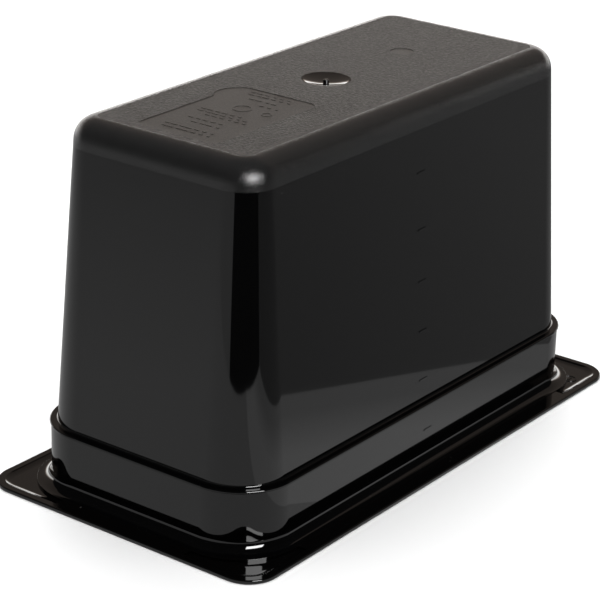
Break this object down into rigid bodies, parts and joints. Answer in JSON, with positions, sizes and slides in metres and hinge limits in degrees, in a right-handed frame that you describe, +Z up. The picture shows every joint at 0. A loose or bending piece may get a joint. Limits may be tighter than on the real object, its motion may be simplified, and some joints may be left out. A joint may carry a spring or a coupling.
{
  "type": "food pan",
  "caption": "Deep third-size rectangular food pan with drafted walls, a flanged rim, a stacking ledge and a rounded base, standing mouth down.",
  "frame": {"origin": "centre of the rim plane, the face the upturned pan rests on", "axes": "+Z up from the rim to the closed base, +X along the long side of the rim, +Y along its short side"},
  "size_m": [0.324, 0.172, 0.1918],
  "materials": {
    "wall_black": "polished black polycarbonate, mirror-like with faint flow waviness",
    "grained_black": "fine spark-eroded grain, satin",
    "smooth_mark": "smooth satin patch in the grained base"
  },
  "bodies": {
    "root": {"rim_border": "wall_black", "rim_web": "wall_black", "foot_ring": "wall_black", "neck_band": "wall_black", "stacking_lip": "wall_black", "shoulder_ring": "wall_black", "body_wall": "wall_black", "base_edge": "grained_black", "base_panel": "grained_black", "gate_dish": "smooth_mark", "gate_nub": "smooth_mark", "ejector_disk": "smooth_mark", "marking_panel": "smooth_mark", "marking_bars": "smooth_mark", "cavity_mark": "wall_black", "graduation_marks": "wall_black"}
  },
  "joints": []
}
